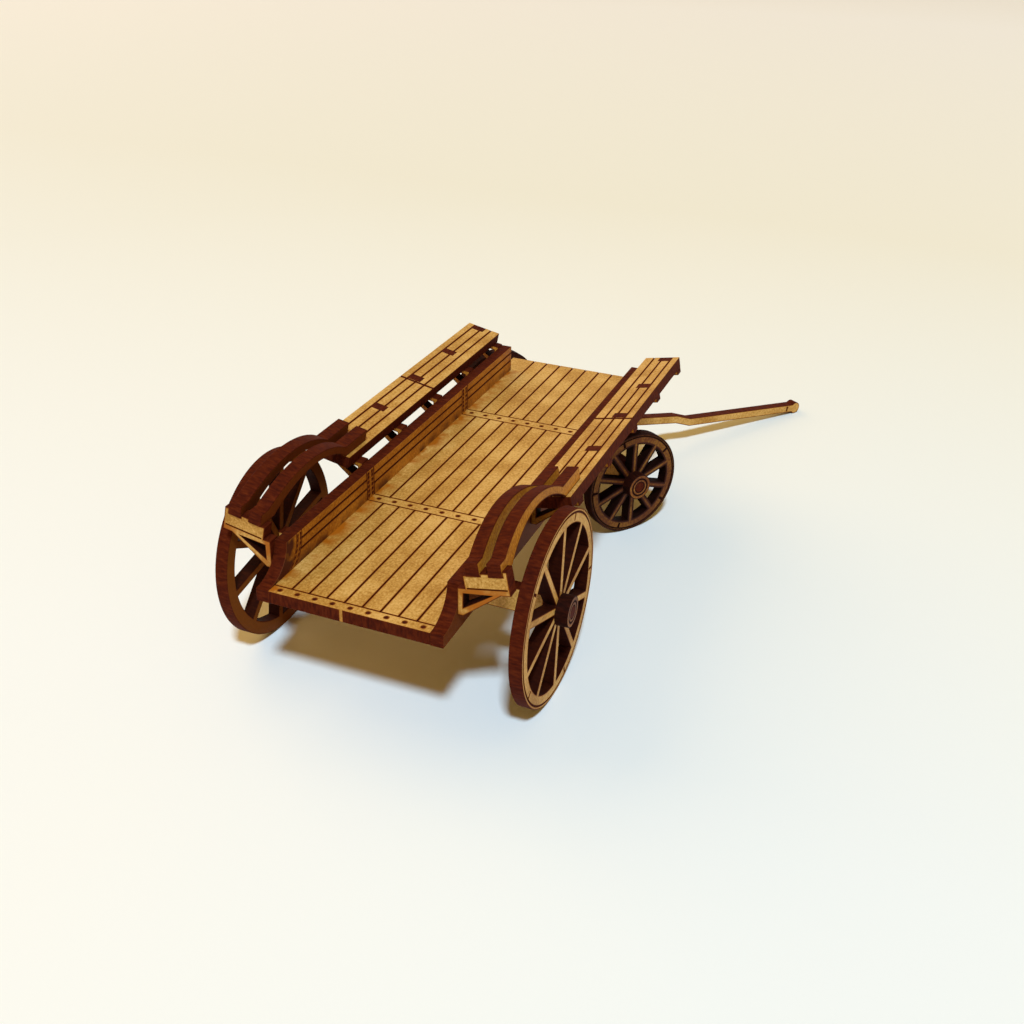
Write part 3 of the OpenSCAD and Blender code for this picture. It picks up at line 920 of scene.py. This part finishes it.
def fibreboard(name, faces, edges, halo_colour, stain_and_shade_colour="7A4414"):
    """Faces, edges and halo are hex colours from dark to light. Rates are per millimetre."""
    material = bpy.data.materials.new(name)
    material.use_nodes = True
    tree = material.node_tree
    tree.nodes.clear()
    burn = add(tree, "ShaderNodeAttribute", {"attribute_name": "burn"}).outputs["Fac"]
    place = add(tree, "ShaderNodeAttribute", {"attribute_name": "sheet"}).outputs["Vector"]
    stain_and_shade = add(tree, "ShaderNodeAttribute", {"attribute_name": "stain_and_shade"}).outputs["Fac"]
    clouds = add(tree, "ShaderNodeTexNoise", Vector=place, Scale=face_clouds, Detail=3.0)
    fibres = add(tree, "ShaderNodeVectorMath", {"operation": "MULTIPLY"}, i0=place, i1=fleck_rate)
    flecks = add(tree, "ShaderNodeTexNoise", Vector=fibres.outputs[0], Scale=1.0, Detail=4.0,
                 Roughness=0.7).outputs["Fac"]
    mixed = add(tree, "ShaderNodeMix", numbers, Factor=0.6, i2=clouds.outputs["Fac"], i3=flecks)
    face = add(tree, "ShaderNodeValToRGB", {"stops": list(zip((0.4, 0.5, 0.6), faces))},
               i0=mixed.outputs[0]).outputs["Color"]
    # Clouds break up the stain attribute: a real stain on the floor, painted shade along the sides.
    stain_and_shade_noise = add(tree, "ShaderNodeTexNoise", Vector=place, Scale=stain_and_shade_clouds, Detail=2.0)
    lumps = add(tree, "ShaderNodeMapRange", clamped, Value=stain_and_shade_noise.outputs["Fac"], i1=0.4, i2=0.62)
    broken = add(tree, "ShaderNodeMath", {"operation": "MULTIPLY"}, i0=lumps.outputs[0], i1=stain_and_shade)
    solid = add(tree, "ShaderNodeMapRange", clamped, Value=stain_and_shade, i1=1.5, i2=3.5)
    share = add(tree, "ShaderNodeMath", {"operation": "ADD", "use_clamp": True},
                i0=broken.outputs[0], i1=solid.outputs[0]).outputs[0]
    face = add(tree, "ShaderNodeMix", colours, i0=share, i6=face,
               i7=linear(stain_and_shade_colour)).outputs[2]
    beam = add(tree, "ShaderNodeVectorMath", {"operation": "MULTIPLY"}, i0=place, i1=streak_rate)
    streaks = add(tree, "ShaderNodeTexNoise", Vector=beam.outputs[0], Scale=1.0,
                  Detail=3.0).outputs["Fac"]
    edge = add(tree, "ShaderNodeValToRGB", {"stops": list(zip((0.25, 0.5, 0.78), edges))},
               i0=streaks).outputs["Color"]
    # Painted shade: burn above 1, on the walls of holes, blends the cut edge towards near black.
    hole_shade = add(tree, "ShaderNodeMapRange", clamped, Value=burn, i1=1.0, i2=1.5, i4=0.7)
    edge = add(tree, "ShaderNodeMix", colours, i0=hole_shade.outputs[0], i6=edge,
               i7=linear(hole_shade_colour)).outputs[2]
    warm = add(tree, "ShaderNodeMapRange", clamped, Value=burn, i1=0.0, i2=0.4)
    scorched = add(tree, "ShaderNodeMix", colours, i0=warm.outputs[0], i6=face,
                   i7=linear(halo_colour)).outputs[2]
    dark = add(tree, "ShaderNodeMapRange", clamped, Value=burn, i1=0.3, i2=0.9)
    colour = add(tree, "ShaderNodeMix", colours, i0=dark.outputs[0], i6=scorched, i7=edge)
    rough = add(tree, "ShaderNodeMapRange", clamped, Value=burn, i3=0.6, i4=0.75)
    height = add(tree, "ShaderNodeMix", numbers, Factor=burn, i2=flecks, i3=streaks)
    bump = add(tree, "ShaderNodeBump", Height=height.outputs[0], Strength=0.5, Distance=0.00006)
    gloss = add(tree, "ShaderNodeMapRange", clamped, Value=burn, i3=0.2, i4=0.05)
    shader = add(tree, "ShaderNodeBsdfPrincipled", Base_Color=colour.outputs[2],
                 Roughness=rough.outputs[0], Normal=bump.outputs[0],
                 Specular_IOR_Level=gloss.outputs[0])
    add(tree, "ShaderNodeOutputMaterial", Surface=shader.outputs[0])
    return material


char = ("330A03", "4A1605", "5E240A")
tan_face = fibreboard("laser-cut fibreboard, plain tan face", ("A26E27", "C08D42", "D6A65C"),
                      char, "98560F", "A25806")
# The orange face's stain colour also paints the shade along the foot of each side.
etched_face = fibreboard("laser-cut fibreboard, orange scorched face",
                         ("90520B", "AC6A17", "C48226"), char, "7C400C", "451404")
dark_face = fibreboard("laser-cut fibreboard, heavily scorched", ("5C2C08", "84480E", "A8701E"),
                       ("160401", "240903", "381206"), "3A150A")
dowel = fibreboard("turned hardwood dowel", ("6E4420", "8A5A2C", "A5723C"),
                   ("6E4420", "8A5A2C", "A5723C"), "7A4C24")

for name in made:
    finish = tan_face
    if "bracket_" in name or name.endswith(("_side", "hound", "_arch")):
        finish = etched_face
    if name.endswith("_hub") or name in ("front_left_wheel", "front_right_wheel"):
        finish = dark_face
    if name.endswith("_pin"):
        finish = dowel
    pieces[name].data.materials.append(finish)
print("finishes given to", len(made), "pieces")

# %% [markdown]
# ## The table and the light
# The model stands on a plain pale sheet. A lamp of modest size shines from behind the viewer's
# shoulder and gives the sharp warm shadow, and a broad soft one from the left fills it.

# %% Table
table = bpy.data.meshes.new("table")
table_half, table_ahead = 2.5, 1.0
grid = np.linspace(-table_half, table_half, 21)
gx, gy = np.meshgrid(grid, grid + table_ahead, indexing="ij")
points = np.stack([gx, gy, np.full_like(gx, ground * MM)], -1).reshape(-1, 3)
index = np.arange(gx.size).reshape(gx.shape)
quads = np.stack([index[:-1, :-1], index[1:, :-1], index[1:, 1:], index[:-1, 1:]], -1)
table.from_pydata(points, [], quads.reshape(-1, 4).tolist())
table_obj = bpy.data.objects.new("table", table)
bpy.context.scene.collection.objects.link(table_obj)
print("table at", round(ground, 2), "mm")

# %% [markdown]
# The sheet is matt white paper, bluish on the right with painted shadow of the warm fill lamp,
# a shade creamier far off, and plain white beyond the model's surroundings. The places are in
# metres.

# %% Paper
paper = bpy.data.materials.new("matt white paper sheet")
paper.use_nodes = True
tree = paper.node_tree
tree.nodes.clear()
place = add(tree, "ShaderNodeTexCoord").outputs["Object"]
axis = add(tree, "ShaderNodeSeparateXYZ", Vector=place)
far = add(tree, "ShaderNodeMapRange", clamped, Value=axis.outputs["Y"], i1=-0.05, i2=0.25)
# Painted shadow: towards the right the paper turns bluish, as if the wagon kept the warm fill off
# it.
side = add(tree, "ShaderNodeMapRange", clamped, Value=axis.outputs["X"], i1=-0.02, i2=0.06)
near = add(tree, "ShaderNodeMix", colours, i0=side.outputs[0], i6=linear("F4F4F2"),
           i7=linear("EEF3F6"))
colour = add(tree, "ShaderNodeMix", colours, i0=far.outputs[0], i6=near.outputs[2],
             i7=linear("EDE9DB"))
reach = add(tree, "ShaderNodeVectorMath", {"operation": "LENGTH"}, i0=place).outputs["Value"]
beyond = add(tree, "ShaderNodeMapRange", clamped, Value=reach, i1=0.25, i2=0.9)
colour = add(tree, "ShaderNodeMix", colours, i0=beyond.outputs[0], i6=colour.outputs[2],
             i7=linear("F8F8F8"))
shader = add(tree, "ShaderNodeBsdfPrincipled", Base_Color=colour.outputs[2], Roughness=0.9,
             Specular_IOR_Level=0.1)
add(tree, "ShaderNodeOutputMaterial", Surface=shader.outputs[0])
table.materials.append(paper)
print("paper nodes:", len(tree.nodes))

# %% [markdown]
# The key lamp stands 55 degrees above the table, behind and a little to the right, and is
# cool; the fill and the dim surroundings are warm, so the shadow turns golden. Far lamps keep
# the table evenly lit.

# %% Lamps
def lamp(name, direction, distance, size, watts, colour):
    """A square area lamp that stands off in a direction and looks at the model's middle."""
    light = bpy.data.lights.new(name, "AREA")
    light.size, light.energy, light.color = size, watts, colour
    obj = bpy.data.objects.new(name, light)
    away = Vector(direction).normalized()
    obj.location = Vector((0.0, 0.0, -0.005)) + away * distance
    obj.rotation_euler = away.to_track_quat("Z", "Y").to_euler()
    bpy.context.scene.collection.objects.link(obj)


lamp("key", (0.233, -0.518, 0.823), 4.0, 0.4, 160.0, (0.62, 0.82, 1.0))
lamp("fill", (-0.75, 0.2, 0.6), 4.0, 3.4, 66.0, (1.0, 0.66, 0.28))
print("lamps:", len(bpy.data.lights))

# %% [markdown]
# The surroundings look white but glow dimly: the light path tells a ray that is seen, straight
# or in a shine, from one that lights.

# %% Surroundings
dim_glow = (0.36, 0.23, 0.06, 1)
world = bpy.data.worlds.new("studio")
world.use_nodes = True
tree = world.node_tree
tree.nodes.clear()
ray = add(tree, "ShaderNodeLightPath").outputs
seen = add(tree, "ShaderNodeMath", {"operation": "MAXIMUM"}, i0=ray["Is Camera Ray"],
           i1=ray["Is Glossy Ray"]).outputs[0]
seen = add(tree, "ShaderNodeMath", {"operation": "MAXIMUM"}, i0=seen,
           i1=ray["Is Transmission Ray"]).outputs[0]
glow = add(tree, "ShaderNodeMix", colours, i0=seen, i6=dim_glow, i7=linear("FAFAFA")).outputs[2]
background = add(tree, "ShaderNodeBackground", Color=glow)
add(tree, "ShaderNodeOutputWorld", Surface=background.outputs[0])
bpy.context.scene.world = world
print("surroundings glow", dim_glow[:3])

# %% [markdown]
# The camera stands behind the wagon's right rear corner, looks down on it, and is turned a
# little about its own axis. Its three directions are worked out from those angles.

# %% Camera
camera_at = (0.069703, -0.165983, 0.090975)
azimuth, elevation, roll = (math.radians(a) for a in (21.3075, 28.9682, 1.5455))
back = np.array([math.sin(azimuth) * math.cos(elevation),
                 -math.cos(azimuth) * math.cos(elevation), math.sin(elevation)])
level_right = np.array([math.cos(azimuth), math.sin(azimuth), 0])
level_up = np.cross(back, level_right)
right = level_right * math.cos(roll) + level_up * math.sin(roll)
up = level_up * math.cos(roll) - level_right * math.sin(roll)
camera = bpy.data.cameras.new("camera")
camera.lens, camera.sensor_width, camera.clip_start = 41.81, 36.0, 0.01
view = bpy.data.objects.new("camera", camera)
turned_to = Matrix(np.stack([right, up, back], 1).tolist()).to_4x4()
view.matrix_world = Matrix.Translation(camera_at) @ turned_to
bpy.context.scene.collection.objects.link(view)
bpy.context.scene.camera = view
bpy.context.scene.view_settings.view_transform = "Standard"
print("camera looks along", (-back).round(3))
